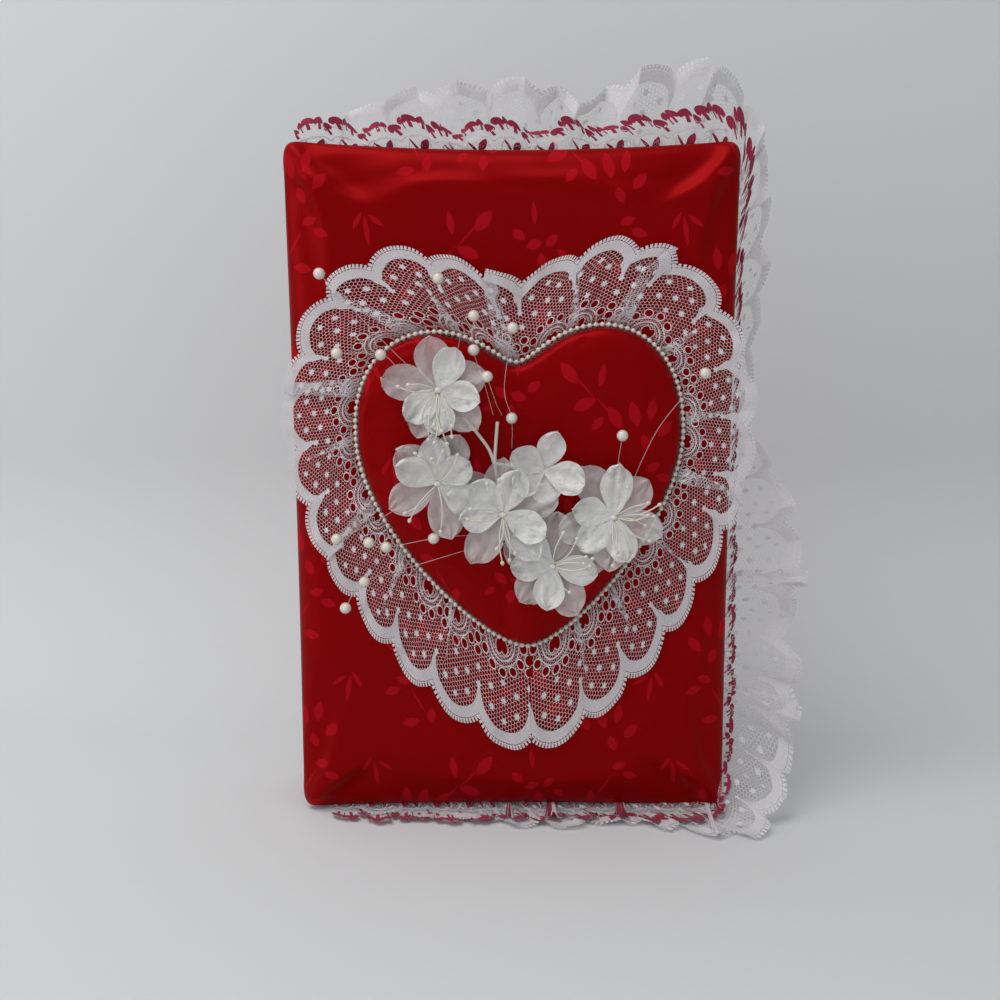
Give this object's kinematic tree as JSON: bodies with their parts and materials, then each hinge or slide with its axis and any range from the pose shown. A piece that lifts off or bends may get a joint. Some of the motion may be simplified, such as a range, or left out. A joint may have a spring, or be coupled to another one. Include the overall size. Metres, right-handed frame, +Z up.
{
  "type": "padded keepsake album",
  "caption": "Padded satin wedding album standing closed, its front cover trimmed with lace, a raised heart, organza flowers and pearls on clear line.",
  "frame": {"origin": "bottom centre of the whole object's box, on the surface that it stands on", "axes": "+Z up; the front cover faces -Y; the spine is at -X and the fore edge at +X"},
  "size_m": [0.2764, 0.1032, 0.4015],
  "materials": {
    "red_satin": "crimson jacquard satin, soft gloss",
    "white_lace": "matte nylon lace",
    "red_lace": "matte white lace with crimson thread",
    "organza": "sheer white organza",
    "pearl": "ivory pearl",
    "wrapped_wire": "cream floral wrap",
    "wadding": "polyester wadding",
    "grey_board": "grey bookbinding board",
    "white_card": "matte ivory card"
  },
  "bodies": {
    "spine": {"spine_board": "grey_board", "spine_satin": "red_satin", "page_binding": "white_card"},
    "front_cover": {"front_board": "grey_board", "front_batting": "wadding", "front_satin": "red_satin", "front_lining_card": "white_card", "front_lining_satin": "red_satin", "white_lace_trim": "white_lace", "red_lace_trim": "red_lace", "heart_lace": "white_lace", "heart_board": "grey_board", "heart_batting": "wadding", "heart_satin": "red_satin", "pearl_trim": "pearl", "flower_1_outer_petals": "organza", "flower_1_inner_petals": "organza", "flower_1_stamens": "pearl", "flower_2_outer_petals": "organza", "flower_2_inner_petals": "organza", "flower_2_stamens": "pearl", "flower_3_outer_petals": "organza", "flower_3_inner_petals": "organza", "flower_3_stamens": "pearl", "flower_4_outer_petals": "organza", "flower_4_inner_petals": "organza", "flower_4_stamens": "pearl", "flower_5_outer_petals": "organza", "flower_5_inner_petals": "organza", "flower_5_stamens": "pearl", "folded_petals": "organza", "flower_stem": "wrapped_wire", "flower_stem_branch": "wrapped_wire", "pearl_spray_1": "pearl", "pearl_spray_2": "pearl", "pearl_spray_3": "pearl", "pearl_spray_4": "pearl", "pearl_spray_5": "pearl", "pearl_spray_6": "pearl", "pearl_spray_7": "pearl", "pearl_spray_8": "pearl", "pearl_spray_9": "pearl", "pearl_spray_10": "pearl", "pearl_spray_11": "pearl"},
    "back_cover": {"back_board": "grey_board", "back_batting": "wadding", "back_satin": "red_satin", "back_lining_card": "white_card", "back_lining_satin": "red_satin"},
    "leaf_1": {"album_leaf_1": "white_card"},
    "leaf_2": {"album_leaf_2": "white_card"},
    "leaf_3": {"album_leaf_3": "white_card"},
    "leaf_4": {"album_leaf_4": "white_card"},
    "leaf_5": {"album_leaf_5": "white_card"},
    "leaf_6": {"album_leaf_6": "white_card"}
  },
  "joints": [
    {"name": "front_cover_hinge", "type": "hinge", "parent": "spine", "child": "front_cover", "pos_m": [-0.13182, 0.00112, 0.1825], "axis": [0, 0, -1], "range_deg": [0, 180]},
    {"name": "back_cover_hinge", "type": "hinge", "parent": "spine", "child": "back_cover", "pos_m": [-0.13182, 0.03712, 0.178], "axis": [0, 0, 1], "range_deg": [0, 70]},
    {"name": "leaf_1_turn", "type": "hinge", "parent": "spine", "child": "leaf_1", "pos_m": [-0.10542, 0.00362, 0.177], "axis": [0, 0, -1], "range_deg": [0, 90]},
    {"name": "leaf_2_turn", "type": "hinge", "parent": "spine", "child": "leaf_2", "pos_m": [-0.10542, 0.00952, 0.177], "axis": [0, 0, -1], "range_deg": [0, 75.6]},
    {"name": "leaf_3_turn", "type": "hinge", "parent": "spine", "child": "leaf_3", "pos_m": [-0.10542, 0.01542, 0.177], "axis": [0, 0, -1], "range_deg": [0, 61.2]},
    {"name": "leaf_4_turn", "type": "hinge", "parent": "spine", "child": "leaf_4", "pos_m": [-0.10542, 0.02132, 0.177], "axis": [0, 0, -1], "range_deg": [0, 46.8]},
    {"name": "leaf_5_turn", "type": "hinge", "parent": "spine", "child": "leaf_5", "pos_m": [-0.10542, 0.02722, 0.177], "axis": [0, 0, -1], "range_deg": [0, 32.4]},
    {"name": "leaf_6_turn", "type": "hinge", "parent": "spine", "child": "leaf_6", "pos_m": [-0.10542, 0.03312, 0.177], "axis": [0, 0, -1], "range_deg": [0, 18]}
  ],
  "couplings": [
    {"joint": "leaf_1_turn", "follows": "front_cover_hinge", "ratio": 0.5},
    {"joint": "leaf_2_turn", "follows": "front_cover_hinge", "ratio": 0.42},
    {"joint": "leaf_3_turn", "follows": "front_cover_hinge", "ratio": 0.34},
    {"joint": "leaf_4_turn", "follows": "front_cover_hinge", "ratio": 0.26},
    {"joint": "leaf_5_turn", "follows": "front_cover_hinge", "ratio": 0.18},
    {"joint": "leaf_6_turn", "follows": "front_cover_hinge", "ratio": 0.1}
  ]
}
